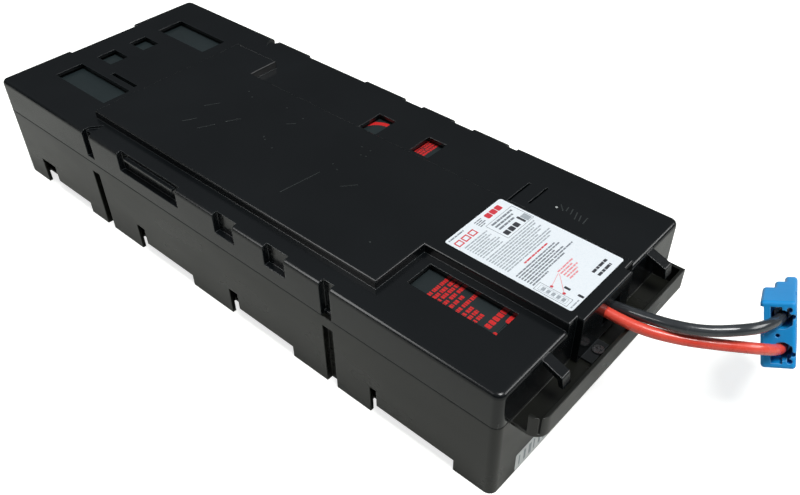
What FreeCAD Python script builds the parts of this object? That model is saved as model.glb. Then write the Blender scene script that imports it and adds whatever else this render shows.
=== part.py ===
import FreeCAD, Part
import math
import os
import re
import Sketcher

# Battery cartridge for an uninterruptible power supply: a long black case of a lower
# tray and an upper cover, four sealed batteries in a row inside, and two stiff leads that
# end in a two-pole connector. X is the width, Y the length with the leads at -Y, Z is up.
# The origin is at the middle of the case's footprint, the cable trough included.

doc = FreeCAD.newDocument("battery_cartridge")
sheet = doc.addObject("Spreadsheet::Sheet", "sizes")

SIZES = {
    # the case, sized by the room around its batteries
    "side_room": 12.0,
    "front_room": 19.05,
    "rear_room": 11.55,
    "terminal_room": 17.0,
    "top_room": 2.0,
    "seam_level": 55.0,
    "wall": 2.5,
    "deck": 2.5,
    "corner_radius": 5.0,
    "edge_radius": 3.0,
    "seat_gap": 0.3,
    # the raised middle of the cover, over the wiring
    "plateau_rise": 6.0,
    "plateau_edge": 16.5,
    "plateau_far": 32.0,
    "plateau_step": 56.0,
    "plateau_step_gap": 144.3,
    "plateau_back_gap": 101.3,
    "plateau_radius": 1.5,
    "block_near": 31.0,
    "block_length": 94.3,
    # the cable guide in the middle of the front wall
    "guide_width": 48.0,
    "guide_reach": 4.1,
    "lead_slot_middle": 6.5,
    "lead_slot_width": 17.0,
    "lead_slot_height": 12.6,
    "lead_slot_drop": 15.4,
    # the foot of the cable guide and its screw
    "foot_left": 20.0,
    "foot_width": 17.0,
    "foot_reach": 10.7,
    "foot_height": 1.6,
    "screw_x": 10.5,
    "screw_inset": 8.6,
    "screw_shank": 3.5,
    "screw_head": 6.4,
    "screw_head_height": 1.4,
    "screw_length": 7.6,
    "screw_slot": 1.1,
    "boss_diameter": 8.0,
    "boss_depth": 6.0,
    # the seam lip of the cover
    "lip": 1.5,
    "lip_depth": 4.0,
    "lip_root": 5.0,
    # grips and recesses in the cover's long sides, measured from the middle of the case
    "recess_drop": 14.0,
    "recess_depth": 4.0,
    "grip_middle": 49.75,
    "grip_length": 61.5,
    "notch_a_middle": -26.0,
    "notch_a_length": 18.0,
    "notch_b_middle": -70.4,
    "notch_b_length": 17.8,
    "grip_bar_drop": 4.5,
    "grip_bar_height": 1.5,
    "grip_bar_length": 51.0,
    "grip_bar_reach": 2.6,
    # upright grooves in the long sides, at two of the cell walls
    "groove_width": 8.2,
    "groove_depth": 4.0,
    "groove_sill": 5.0,
    "groove_below_lip": 3.5,
    "groove_tail": 14.0,
    "groove_tail_depth": 1.6,
    # rear recess
    "rear_recess_width": 60.5,
    "rear_recess_depth": 6.0,
    "rear_recess_floor": 1.4,
    # the tray's floor, feet and openings
    "floor_level": 8.5,
    "floor": 2.0,
    "foot_slot_level": 21.5,
    "cell_wall": 2.5,
    "cell_wall_below_lip": 5.0,
    "side_rib": 2.0,
    "side_rib_below_lip": 3.0,
    "side_rib_inset": 20.0,
    # the cable trough in front
    "trough_reach": 17.2,
    "trough_near_inset": 10.5,
    "trough_far_inset": 21.5,
    "trough_drop": 3.0,
    "trough_floor": 2.0,
    "trough_wall": 2.0,
    "trough_rise": 11.0,
    "trough_radius": 8.0,
    # hooked clips on the cover's front wall
    "clip_width": 6.8,
    "clip_near": 50.2,
    "clip_far": 52.8,
    "clip_root_drop": 1.0,
    "clip_nose_drop": 6.0,
    "clip_tip_drop": 12.8,
    "clip_thick": 2.6,
    "clip_gap": 1.9,
    "clip_lean": 1.2,
    "clip_nose_radius": 1.4,
    # batteries
    "battery_width": 151.0,
    "battery_height": 94.0,
    "battery_thick": 65.0,
    "battery_lid": 8.0,
    "battery_lid_inset": 0.6,
    "battery_edge": 1.5,
    "battery_gap": 0.5,
    "vent_width": 104.0,
    "vent_height": 20.0,
    "vent_thick": 1.2,
    "tab_inset": 11.5,
    "tab_drop": 12.0,
    "tab_width": 6.35,
    "tab_thick": 0.8,
    "tab_length": 7.0,
    "tab_hole": 1.7,
    "sleeve_width": 9.4,
    "sleeve_height": 6.0,
    "sleeve_length": 7.6,
    "sleeve_slot": 1.2,
    # leads
    "lead_diameter": 6.2,
    "wire_diameter": 5.0,
    "wire_clearance": 1.2,
    "jumper_lane": 12.0,
    "jumper_shift": 10.0,
    "riser_gap": 6.0,
    "drop_gap": 10.5,
    "jumper_run_out": 22.0,
    "jumper_run_in": 14.0,
    "jumper_dip": 0.4,
    "jumper_bow": 1.2,
    "jumper_slant": 0.8,
    "red_turn": 18.0,
    "red_run_in": 17.3,
    "red_rise": 3.5,
    # two-pole connector, placed from the leads' slot in the cable guide
    "housing_length": 48.0,
    "housing_height": 37.4,
    "housing_near_side": 8.0,
    "housing_far_side": 9.2,
    "housing_edge": 2.0,
    "housing_x": 53.3,
    "housing_reach": 77.5,
    "housing_drop": 6.9,
    "housing_heading": 14.0,
    "housing_dip": 23.3,
    "housing_roll": -17.1,
    "block_end": 26.0,
    "shoulder_end": 38.0,
    "shoulder_side": 3.4,
    "tongue_side": 1.5,
    "flank_recess_depth": 1.7,
    "flank_recess_low": 0.5,
    "flank_recess_high": 15.6,
    "thumb_groove_start": 15.0,
    "thumb_groove_end": 23.0,
    "thumb_groove_depth": 0.8,
    "pin_hole": 2.2,
    "pin_hole_side": 0.8,
    "pin_hole_depth": 6.0,
    "pole_pitch": 17.6,
    "pole_side": 1.3,
    "port_diameter": 10.4,
    "port_depth": 22.0,
    "port_notch_depth": 8.0,
    "port_notch_out": 15.6,
    "port_notch_in": 5.2,
    "port_notch_side": 5.5,
    "port_tooth": 2.8,
    "port_tooth_ring": 5.2,
    "port_tooth_rise": 3.7,
    "lead_engagement": 12.0,
    "lead_entry": 1.5,
    "mouth_depth": 18.0,
    "mouth_height": 12.4,
    "mouth_low_side": 5.6,
    "mouth_high_side": 1.0,
    "contact_barrel": 8.4,
    "contact_blade_width": 9.0,
    "contact_blade_thick": 2.0,
    "contact_blade_length": 22.0,
    # labels
    "label_thick": 0.2,
    "label_length": 82.7,
    "label_near_margin": 8.0,
    "label_far_margin": 3.0,
    "label_gap": 4.1,
    "sticker_width": 45.0,
    "sticker_height": 13.5,
    "sticker_inset": 20.5,
    "sticker_level": 1.0,
}

# Sizes that follow from the ones above.
DERIVED = {
    "case_width": "battery_width + 2*side_room",
    "cell_split": "battery_height + battery_gap + cell_wall + terminal_room",
    "case_length": "2*wall + lip + front_room + rear_room + 2*terminal_room"
                   " + 4*battery_height + 4*battery_gap + 3*cell_wall",
    "deck_level": "floor_level + floor + battery_thick + top_room + deck",
    "plateau_near": "case_width/2 - plateau_edge",
    "lead_slot_level": "deck_level + plateau_rise - lead_slot_drop",
    "recess_level": "deck_level - recess_drop",
    "grip_bar_level": "deck_level - grip_bar_drop",
    "groove_back_level": "seam_level + groove_sill",
    "groove_tray_top": "seam_level - lip_depth - groove_below_lip",
    "rear_recess_level": "floor_level + floor + battery_thick + seat_gap + rear_recess_floor",
    "cell_wall_top": "seam_level - lip_depth - cell_wall_below_lip",
    "side_rib_top": "seam_level - lip_depth - side_rib_below_lip",
    "trough_near": "case_width/2 - trough_near_inset",
    "trough_far": "case_width/2 - trough_far_inset",
    "trough_floor_level": "seam_level - trough_drop",
    "trough_top": "seam_level + trough_rise",
    "clip_root": "deck_level - clip_root_drop",
    "clip_nose": "deck_level - clip_nose_drop",
    "clip_tip": "deck_level - clip_tip_drop",
    "clip_reach": "trough_reach - trough_wall - clip_gap",
    "tab_x": "battery_width/2 - tab_inset",
    "housing_z": "lead_slot_level - housing_drop",
    "sticker_left": "case_width/2 - sticker_inset",
}

# Openings in the deck: left and right edge, then front and rear edge from a datum.
WINDOWS = {
    "rear_near": ("BACK", -57.0, -35.0, -88.3, -26.3),
    "rear_slot": ("BACK", -30.0, -27.0, -86.3, -57.3),
    "rear_mid_near": ("BACK", -21.5, -6.0, -44.3, -26.3),
    "rear_mid_far": ("BACK", 8.0, 22.5, -44.3, -26.3),
    "rear_far": ("BACK", 36.0, 58.0, -81.8, -25.8),
    "mid_far_back": ("MIDDLE", 38.0, 59.0, -33.0, -18.0),
    "mid_far_front": ("MIDDLE", 39.5, 59.0, -77.0, -62.0),
    "front_near": ("FRONT", -56.0, -36.5, 26.3, 85.3),
    "snap_back": ("FRONT", 38.0, 60.0, 85.6, 87.1),
    "snap_front": ("FRONT", 43.0, 63.0, 74.6, 76.1),
    "snap_root": ("FRONT", 34.5, 38.0, 74.6, 87.1),
}

# Feet openings along the lower edge of each long side: front and rear edge of the low cut
# and of the tall slot beside it, from a datum.
FOOT_CUTS = {
    "a": ("BACK", -86.8, -45.3, -45.3, -27.3),
    "b": ("MIDDLE", 20.3, 70.0, 70.0, 78.5),
    "c": ("MIDDLE", -77.5, -28.0, -28.0, -19.9),
    "d": ("FRONT", 25.8, 81.5, 81.5, 86.3),
}

# The free stretch of each lead: points from the middle of the slot it leaves by.
RED_POINTS = [(-3.8, 0.0, 0.4), (-2.9, -15.5, -1.0), (5.5, -36.3, -2.2), (15.7, -53.6, -2.2),
              (27.9, -68.4, -4.6)]
BLACK_POINTS = [(4.4, 0.0, -1.4), (4.4, -15.4, 1.4), (6.0, -34.4, 5.3), (12.2, -47.6, 6.2),
                (21.2, -59.3, 7.9), (32.9, -67.0, 5.9)]

row = 0


def add_size(name, value):
    """One more named size at the foot of the sheet."""
    global row
    row += 1
    sheet.set("A%d" % row, name)
    sheet.set("B%d" % row, str(value))
    sheet.setAlias("B%d" % row, name)
    ALIASES.add(name)


ALIASES = set()
for size_name, size_value in SIZES.items():
    add_size(size_name, size_value)
for size_name, formula in DERIVED.items():
    add_size(size_name, "=" + formula)
for window, edges in WINDOWS.items():
    for edge, place in zip(("left", "right", "front", "rear"), edges[1:]):
        add_size("window_%s_%s" % (window, edge), place)
for foot_cut, edges in FOOT_CUTS.items():
    for edge, place in zip(("low_front", "low_rear", "tall_front", "tall_rear"), edges[1:]):
        add_size("footcut_%s_%s" % (foot_cut, edge), place)
doc.recompute()


def tied(text):
    """An expression in words of the sheet, as FreeCAD writes it."""
    return re.sub(r"[a-z][a-z_]*[a-z]", lambda word: "sizes." + word.group(0)
                  if word.group(0) in ALIASES else word.group(0), text)


def size(name):
    """The value of one cell of the sheet."""
    return float(sheet.get(name))


FRONT = "(trough_reach - case_length)/2"
BACK = "(trough_reach + case_length)/2"
MIDDLE = "trough_reach/2"
HALF = "case_width/2"
TOP = "(deck_level + plateau_rise)"
FLOOR = "floor_level + floor"
FOOT_SEAT = "trough_floor_level + trough_floor"
DATUMS = {"FRONT": FRONT, "MIDDLE": MIDDLE, "BACK": BACK}


def box(name, left, right, near, far, low, high):
    """A block between six planes, each tied to the sheet."""
    block = doc.addObject("Part::Box", name)
    block.setExpression("Length", tied("(%s) - (%s)" % (right, left)))
    block.setExpression("Width", tied("(%s) - (%s)" % (far, near)))
    block.setExpression("Height", tied("(%s) - (%s)" % (high, low)))
    block.setExpression(".Placement.Base.x", tied(left))
    block.setExpression(".Placement.Base.y", tied(near))
    block.setExpression(".Placement.Base.z", tied(low))
    return block


def side_box(name, side, outer, inner, near, far, low, high):
    """A block in one long side, between two distances from the middle plane."""
    if side > 0:
        return box(name, inner, outer, near, far, low, high)
    return box(name, "-(%s)" % outer, "-(%s)" % inner, near, far, low, high)


def cylinder(name, radius, length, place, axis):
    """A round bar from one point along an axis."""
    bar = doc.addObject("Part::Cylinder", name)
    bar.setExpression("Radius", tied(radius))
    bar.setExpression("Height", tied(length))
    turn = FreeCAD.Rotation(FreeCAD.Vector(0, 0, 1), axis)
    bar.Placement = FreeCAD.Placement(FreeCAD.Vector(), turn)
    for letter, where in zip("xyz", place):
        bar.setExpression(".Placement.Base." + letter, tied(where))
    return bar


def fuse(name, pieces):
    """Several solids as one."""
    joined = doc.addObject("Part::MultiFuse", name)
    joined.Shapes = pieces
    joined.Refine = True
    return joined


def cut(name, base, tools):
    """A solid less the tools, which are fused first when there are several."""
    tool = tools[0] if len(tools) == 1 else fuse(name + "_tools", tools)
    left = doc.addObject("Part::Cut", name)
    left.Base = base
    left.Tool = tool
    left.Refine = True
    return left


def origin_plane(body, role):
    """One of the body's own origin planes."""
    for feature in body.Origin.OriginFeatures:
        if feature.Role == role:
            return feature
    raise ValueError(role)


def outline(body, name, points, level, plane="XY_Plane"):
    """A closed outline at a distance from a plane, each corner tied to the sheet."""
    sketch = body.newObject("Sketcher::SketchObject", name)
    sketch.AttachmentSupport = [(origin_plane(body, plane), "")]
    sketch.MapMode = "FlatFace"
    sketch.setExpression(".AttachmentOffset.Base.z", tied(level))
    count = len(points)
    start = [FreeCAD.Rotation(FreeCAD.Vector(0, 0, 1), 360.0*number/count)
             .multVec(FreeCAD.Vector(size("case_width"), 0, 0)) for number in range(count)]
    for number in range(count):
        sketch.addGeometry(Part.LineSegment(start[number], start[(number + 1) % count]), False)
    for number in range(count):
        sketch.addConstraint(Sketcher.Constraint("Coincident", number, 2, (number + 1) % count, 1))
    for number, (across, along) in enumerate(points):
        for kind, where, first in (("DistanceX", across, start[number].x),
                                   ("DistanceY", along, start[number].y)):
            index = sketch.addConstraint(Sketcher.Constraint(kind, -1, 1, number, 1, first))
            sketch.setExpression("Constraints[%d]" % index, tied(where))
    return sketch


def pad(body, name, sketch, height):
    """Raises an outline by a height."""
    raised = body.newObject("PartDesign::Pad", name)
    raised.Profile = sketch
    raised.setExpression("Length", tied(height))
    doc.recompute()
    return raised


def fillet(body, name, base, radius, wanted):
    """Rounds the edges of a feature that the test wants."""
    names = ["Edge%d" % (number + 1) for number, edge in enumerate(base.Shape.Edges)
             if wanted(edge)]
    rounded = body.newObject("PartDesign::Fillet", name)
    rounded.Base = (base, names)
    rounded.setExpression("Radius", tied(radius))
    doc.recompute()
    return rounded


def is_upright(edge):
    """Whether an edge is straight and parallel to Z."""
    first, last = edge.Vertexes[0].Point, edge.Vertexes[-1].Point
    return abs(first.z - last.z) > 1.0 and (first - last).cross(FreeCAD.Vector(0, 0, 1)).Length < 0.001


def is_across(edge):
    """Whether an edge is straight and parallel to X."""
    first, last = edge.Vertexes[0].Point, edge.Vertexes[-1].Point
    return (first - last).cross(FreeCAD.Vector(1, 0, 0)).Length < 0.001


def lies_at(edge, level):
    """Whether an edge lies flat at a level."""
    box_of_edge = edge.BoundBox
    return abs(box_of_edge.ZMin - level) < 0.01 and abs(box_of_edge.ZMax - level) < 0.01


def rectangle(left, right, near, far):
    """The four corners of a rectangle."""
    return [(left, near), (right, near), (right, far), (left, far)]


def plateau_outline(inset):
    """The raised middle of the cover, seen from above, pulled in by an inset."""
    near = "-plateau_near + %s" % inset
    far = "plateau_far - %s" % inset
    back = BACK + " - plateau_back_gap - %s" % inset
    step = BACK + " - plateau_step_gap + %s" % inset
    jog = FRONT + " + block_length + %s" % inset
    front = FRONT + " + %s" % inset
    return [("-block_near + %s" % inset, front), (far, front), (far, step),
            ("plateau_step - %s" % inset, step), ("plateau_step - %s" % inset, back),
            (near, back), (near, jog), ("-block_near + %s" % inset, jog)]


def battery_back(number):
    """The rear face of a battery, one to four from the front."""
    if number == 4:
        return BACK + " - wall - lip - battery_gap"
    return FRONT + " + wall + front_room + battery_height + %d*cell_split" % (number - 1)


def cell_wall_middle(number):
    """The middle of the wall behind a battery, one to three from the front."""
    return battery_back(number) + " + battery_gap + cell_wall/2"


def make_body(name):
    """An empty PartDesign body."""
    return doc.addObject("PartDesign::Body", name)


PARTS = []


def finish(piece, label):
    """Gives a finished sub-part the name of its file."""
    piece.Label = label
    PARTS.append(piece)
    return piece


SIDES = (("near", -1), ("far", 1))


def make_upper_cover():
    """The upper cover: deck, raised middle, grips, openings, clips and seam lip."""
    body = make_body("cover_outside")
    base = pad(body, "cover_block", outline(body, "cover_plan",
               rectangle("-case_width/2", HALF, FRONT, BACK), "seam_level"),
               "deck_level - seam_level")
    base = fillet(body, "cover_corners", base, "corner_radius", is_upright)
    base = fillet(body, "cover_edge", base, "edge_radius",
                  lambda edge: lies_at(edge, size("deck_level")))
    base = pad(body, "plateau_block", outline(body, "plateau_plan", plateau_outline("0"),
               "deck_level - deck"), "plateau_rise + deck")
    base = pad(body, "guide_block", outline(body, "guide_plan",
               rectangle("-guide_width/2", "guide_width/2", FRONT + " - guide_reach",
                         FRONT + " + wall"), "seam_level"), TOP + " - seam_level")
    base = fillet(body, "plateau_edge", base, "plateau_radius",
                  lambda edge: lies_at(edge, size("deck_level") + size("plateau_rise")))

    inner = make_body("cover_inside")
    pad(inner, "cover_room", outline(inner, "cover_room_plan",
        rectangle("-case_width/2 + wall", HALF + " - wall", FRONT + " + wall", BACK + " - wall"),
        "seam_level - 1"), "deck_level - deck - seam_level + 1")
    pad(inner, "plateau_room", outline(inner, "plateau_room_plan", plateau_outline("wall"),
        "seam_level - 1"), TOP + " - deck - seam_level + 1")

    backing = []
    cutters = []
    bars = []
    for word, side in SIDES:
        for place, middle, length, level, below, under in (
                ("grip", MIDDLE + " + grip_middle", "grip_length", "recess_level", " - wall", ""),
                ("notch_a", MIDDLE + " + notch_a_middle", "notch_a_length", "recess_level",
                 " - wall", ""),
                ("notch_b", MIDDLE + " + notch_b_middle", "notch_b_length", "recess_level",
                 " - wall", ""),
                ("groove_back", cell_wall_middle(3), "groove_width", "groove_back_level",
                 " - wall", ""),
                ("groove_front", cell_wall_middle(1), "groove_width", "seam_level", "", " - 1")):
            near = middle + " - %s/2" % length
            far = middle + " + %s/2" % length
            backing.append(side_box("%s_%s_backing" % (place, word), side, HALF + " - wall/2",
                                    HALF + " - recess_depth - wall", near + " - wall",
                                    far + " + wall", level + below, "deck_level - deck/2"))
            cutters.append(side_box("%s_%s_cut" % (place, word), side, HALF + " + 1",
                                    HALF + " - recess_depth", near, far, level + under,
                                    "deck_level + 1"))
        bars.append(side_box("grip_bar_" + word, side, HALF + " - recess_depth + grip_bar_reach",
                             HALF + " - recess_depth - wall/2",
                             MIDDLE + " + grip_middle - grip_bar_length/2",
                             MIDDLE + " + grip_middle + grip_bar_length/2",
                             "grip_bar_level", "grip_bar_level + grip_bar_height"))
        tail = make_body("groove_tail_" + word)
        sign = "" if side > 0 else "-"
        middle = cell_wall_middle(3)
        pad(tail, "groove_tail_pad_" + word, outline(tail, "groove_tail_plan_" + word, [
            (sign + "(case_width/2 + 1)", middle + " - groove_width/2"),
            (sign + "(case_width/2 + 1)", middle + " + groove_width/2"),
            (sign + "(case_width/2 - recess_depth - 2)", middle + " + groove_width/2"),
            (sign + "(case_width/2 - groove_tail)", middle + " - groove_width/4")],
            "deck_level - groove_tail_depth"), "groove_tail_depth + 1")
        cutters.append(tail)
    backing.append(box("rear_backing", "-rear_recess_width/2 - wall", "rear_recess_width/2 + wall",
                       BACK + " - rear_recess_depth - wall", BACK + " - wall/2",
                       "rear_recess_level - rear_recess_floor", "deck_level - deck/2"))
    cutters.append(box("rear_cut", "-rear_recess_width/2", "rear_recess_width/2",
                       BACK + " - rear_recess_depth", BACK + " + 1",
                       "rear_recess_level", "deck_level + 1"))
    for name, places in WINDOWS.items():
        datum = DATUMS[places[0]]
        cutters.append(box("window_" + name, "window_%s_left" % name, "window_%s_right" % name,
                           datum + " + window_%s_front" % name,
                           datum + " + window_%s_rear" % name, "seam_level", TOP + " + 1"))
    cutters.append(box("lead_slot", "lead_slot_middle - lead_slot_width/2",
                       "lead_slot_middle + lead_slot_width/2", FRONT + " - guide_reach - 1",
                       FRONT + " + wall + 1", "lead_slot_level - lead_slot_height/2",
                       "lead_slot_level + lead_slot_height/2"))

    lip_root = cut("lip_root_ring",
                   box("lip_root_out", "-case_width/2 + wall/2", HALF + " - wall/2",
                       FRONT + " + wall/2", BACK + " - wall/2", "seam_level",
                       "seam_level + lip_root"),
                   [box("lip_root_in", "-case_width/2 + wall + lip", HALF + " - wall - lip",
                        FRONT + " + wall + lip", BACK + " - wall - lip", "seam_level - 1",
                        "seam_level + lip_root + 1")])
    lip = cut("lip_ring",
              box("lip_out", "-case_width/2 + wall + seat_gap", HALF + " - wall - seat_gap",
                  FRONT + " + wall + seat_gap", BACK + " - wall - seat_gap",
                  "seam_level - lip_depth", "seam_level + lip_root/2"),
              [box("lip_in", "-case_width/2 + wall + lip", HALF + " - wall - lip",
                   FRONT + " + wall + lip", BACK + " - wall - lip",
                   "seam_level - lip_depth - 1", "seam_level + lip_root")])
    hollow = cut("cover_hollow", body, [inner])
    backed = fuse("cover_backed", [hollow, lip_root] + backing)
    opened = cut("cover_opened", backed, cutters)
    foot = cut("guide_foot",
               box("guide_foot_block", "-foot_left", "-foot_left + foot_width",
                   FRONT + " - foot_reach", FRONT + " - guide_reach/2", FOOT_SEAT,
                   FOOT_SEAT + " + foot_height"),
               [cylinder("guide_foot_hole", "screw_shank/2 + seat_gap", "foot_height + 2",
                         ("-screw_x", FRONT + " - screw_inset", FOOT_SEAT + " - 1"),
                         FreeCAD.Vector(0, 0, 1))])
    whole = fuse("upper_cover_solid", [opened, lip, foot] + bars + make_clips())
    return finish(whole, "upper_cover")


def make_clips():
    """The two hooked clips at the top of the cover's front wall."""
    clips = []
    for word, middle in (("near", "-clip_near"), ("far", "clip_far")):
        body = make_body("clip_" + word)
        base = pad(body, "clip_block_" + word, outline(body, "clip_profile_" + word, [
            (FRONT + " + wall/2", "clip_root"),
            (FRONT + " - clip_reach + clip_lean", "clip_nose"),
            (FRONT + " - clip_reach", "clip_tip"),
            (FRONT + " - clip_reach + clip_thick", "clip_tip"),
            (FRONT + " - clip_reach + clip_lean + clip_thick", "clip_nose - clip_thick"),
            (FRONT + " + wall/2", "clip_root - clip_thick")],
            middle + " - clip_width/2", "YZ_Plane"), "clip_width")
        fillet(body, "clip_nose_" + word, base, "clip_nose_radius", lambda edge:
               is_across(edge) and abs(edge.Vertexes[0].Z - size("clip_nose")) < 0.01)
        clips.append(body)
    return clips


def make_lower_tray():
    """The lower tray: floor, feet, cell walls, grooves, ribs and the cable trough."""
    body = make_body("tray_outside")
    base = pad(body, "tray_block", outline(body, "tray_plan",
               rectangle("-case_width/2", HALF, FRONT, BACK), "0"), "seam_level")
    fillet(body, "tray_corners", base, "corner_radius", is_upright)
    room = box("tray_room", "-case_width/2 + wall", HALF + " - wall", FRONT + " + wall",
               BACK + " - wall", "floor_level + floor", "seam_level + 1")
    under = box("tray_under", "-case_width/2 + wall", HALF + " - wall", FRONT + " + wall",
                BACK + " - wall", "-1", "floor_level")
    hollow = cut("tray_hollow", body, [room, under])
    additions = []
    cutters = []
    for word, side in SIDES:
        for place, middle in (("groove_back", cell_wall_middle(3)),
                              ("groove_front", cell_wall_middle(1))):
            near = middle + " - groove_width/2"
            far = middle + " + groove_width/2"
            additions.append(side_box("tray_%s_%s_backing" % (place, word), side, HALF + " - wall/2",
                                      HALF + " - groove_depth - wall", near + " - wall",
                                      far + " + wall", "0", "groove_tray_top + wall"))
            cutters.append(side_box("tray_%s_%s_cut" % (place, word), side, HALF + " + 1",
                                    HALF + " - groove_depth", near, far, "-1", "groove_tray_top"))
        for name, places in FOOT_CUTS.items():
            for height, top in (("low", "floor_level"), ("tall", "foot_slot_level")):
                datum = "%s + footcut_%s_%s" % (DATUMS[places[0]], name, height)
                cutters.append(side_box("foot_%s_%s_%s" % (height, name, word), side,
                                        HALF + " + 1", HALF + " - wall - 1", datum + "_front",
                                        datum + "_rear", "-1", top))
    for number in range(1, 4):
        middle = cell_wall_middle(number)
        additions.append(box("cell_wall_%d" % number, "-case_width/2 + wall/2", HALF + " - wall/2",
                             middle + " - cell_wall/2", middle + " + cell_wall/2",
                             "floor_level + floor/2", "cell_wall_top"))
    for number in range(1, 5):
        for word, side in SIDES:
            for end, place in (("rear", "- side_rib_inset"),
                               ("front", "- battery_height + side_rib_inset")):
                middle = "(%s) %s" % (battery_back(number), place)
                additions.append(side_box("side_rib_%d_%s_%s" % (number, word, end), side,
                                          HALF + " - wall/2", "battery_width/2 + battery_gap",
                                          middle + " - side_rib/2", middle + " + side_rib/2",
                                          "floor_level + floor/2", "side_rib_top"))
    solid = fuse("tray_with_walls", [hollow] + additions)
    opened = cut("tray_opened", solid, cutters)
    return finish(fuse("lower_tray_solid", [opened, make_trough()]), "lower_tray")


def make_trough():
    """The open cable trough across the front wall, rounded at its near end."""
    body = make_body("trough_outside")
    base = pad(body, "trough_block", outline(body, "trough_plan",
               rectangle("-trough_near", "trough_far", FRONT + " - trough_reach",
                         FRONT + " + wall/2"), "trough_floor_level"),
               "trough_top - trough_floor_level")
    reach = -size("trough_near")
    front = -(size("case_length") + size("trough_reach"))/2
    fillet(body, "trough_corner", base, "trough_radius", lambda edge: is_upright(edge)
           and abs(edge.Vertexes[0].X - reach) < 0.01 and abs(edge.Vertexes[0].Y - front) < 0.01)
    room = box("trough_room", "-trough_near + trough_wall", "trough_far - trough_wall",
               FRONT + " - trough_reach + trough_wall", FRONT,
               "trough_floor_level + trough_floor", "trough_top + 1")
    open_end = box("trough_open_end", "-trough_near - 1", "-trough_near + trough_radius",
                   FRONT + " - trough_reach + trough_radius", FRONT,
                   "trough_floor_level + trough_floor", "trough_top + 1")
    above = box("trough_above", "-trough_near - 1", "trough_far + 1", FRONT, FRONT + " + wall",
                "seam_level", "trough_top + 1")
    open_trough = cut("trough_open", body, [room, open_end, above])
    place = ("-screw_x", FRONT + " - screw_inset")
    boss = cylinder("screw_boss", "boss_diameter/2", "boss_depth + trough_floor/2",
                    place + ("trough_floor_level - boss_depth",), FreeCAD.Vector(0, 0, 1))
    hole = cylinder("screw_boss_hole", "screw_shank/2", "screw_length",
                    place + (FOOT_SEAT + " + foot_height - screw_length",),
                    FreeCAD.Vector(0, 0, 1))
    return cut("cable_trough", fuse("trough_with_boss", [open_trough, boss]), [hole])


def make_battery(number):
    """One sealed battery on its broad side, its terminals towards the front."""
    back = battery_back(number)
    word = "battery_%d" % number
    case = box(word + "_case", "-battery_width/2", "battery_width/2",
               "(%s) - battery_height + battery_lid" % back, back, FLOOR,
               FLOOR + " + battery_thick")
    lid = box(word + "_lid", "-battery_width/2 + battery_lid_inset",
              "battery_width/2 - battery_lid_inset", "(%s) - battery_height" % back,
              "(%s) - battery_height + battery_lid" % back, FLOOR + " + battery_lid_inset",
              FLOOR + " + battery_thick - battery_lid_inset")
    finish(fuse(word + "_solid", [case, lid]), word)
    front = "(%s) - battery_height" % back
    level = FLOOR + " + battery_thick - tab_drop"
    finish(box(word + "_vents", "-vent_width/2", "vent_width/2", front + " - vent_thick", front,
               level + " - vent_height - tab_drop", level + " - tab_drop"),
           word + "_vent_strip")
    for pole, place in (("plus", "-tab_x"), ("minus", "tab_x")):
        tab = box("%s_%s_tab" % (word, pole), place + " - tab_width/2", place + " + tab_width/2",
                  front + " - tab_length", front, level + " - tab_thick/2",
                  level + " + tab_thick/2")
        hole = cylinder("%s_%s_hole" % (word, pole), "tab_hole/2", "tab_thick + 2",
                        (place, front + " - tab_length/2", level + " - tab_thick/2 - 1"),
                        FreeCAD.Vector(0, 0, 1))
        finish(cut("%s_%s_terminal_solid" % (word, pole), tab, [hole]),
               "%s_terminal_%s" % (word, pole))
        sleeve = box("%s_%s_sleeve_block" % (word, pole), place + " - sleeve_width/2",
                     place + " + sleeve_width/2", front + " - sleeve_length - seat_gap",
                     front + " - seat_gap", level + " - sleeve_height/2",
                     level + " + sleeve_height/2")
        slot = box("%s_%s_sleeve_slot" % (word, pole), place + " - tab_width/2 - seat_gap",
                   place + " + tab_width/2 + seat_gap", front + " - tab_length - seat_gap",
                   front + " + 1", level + " - sleeve_slot/2", level + " + sleeve_slot/2")
        finish(cut("%s_%s_receptacle_solid" % (word, pole), sleeve, [slot]),
               "%s_receptacle_%s" % (word, pole))


def value_of_battery_front(number):
    """Where a battery's lid face lies along Y."""
    return doc.getObject("battery_%d_lid" % number).Placement.Base.y


def tube(name, label, route, diameter):
    """A round cord of straight runs joined by tangent arcs."""
    points = [FreeCAD.Vector(*point) for point in route]
    edges = []
    radii = []
    last = points[0]
    for number in range(1, len(points) - 1):
        before = points[number - 1] - points[number]
        after = points[number + 1] - points[number]
        reach = 0.45*min(before.Length, after.Length)
        half = (math.pi - before.getAngle(after))/2
        radius = reach/math.tan(half)
        start = points[number] + before.normalize()*reach
        end = points[number] + after.normalize()*reach
        inward = (before + after).normalize()
        bow = points[number] + inward*(radius*(1/math.cos(half) - 1))
        edges.append(Part.LineSegment(last, start).toShape())
        edges.append(Part.Arc(start, bow, end).toShape())
        radii.append(radius)
        last = end
    edges.append(Part.LineSegment(last, points[-1]).toShape())
    path = Part.Wire(edges)
    ring = Part.Wire([Part.Circle(points[0], points[1] - points[0], diameter/2).toShape()])
    solid = path.makePipeShell([ring], True, False)
    expected = math.pi*diameter**2/4*path.Length
    print("%s: length %.1f, volume %.4f of section times length, radii %s"
          % (label, path.Length, solid.Volume/expected, [round(radius, 1) for radius in radii]))
    cord = doc.addObject("Part::Feature", name)
    cord.Shape = solid
    cord.Placement = FreeCAD.Placement()
    return finish(cord, label)


def in_housing(along, across, up):
    """A point given in the housing's own frame, where the leads hold the housing."""
    turn = FreeCAD.Rotation(size("housing_heading"), size("housing_dip"), size("housing_roll"))
    front = (size("trough_reach") - size("case_length"))/2
    place = FreeCAD.Vector(size("housing_x"), front - size("housing_reach"), size("housing_z"))
    return place + turn.multVec(FreeCAD.Vector(along, across, up))


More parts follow.
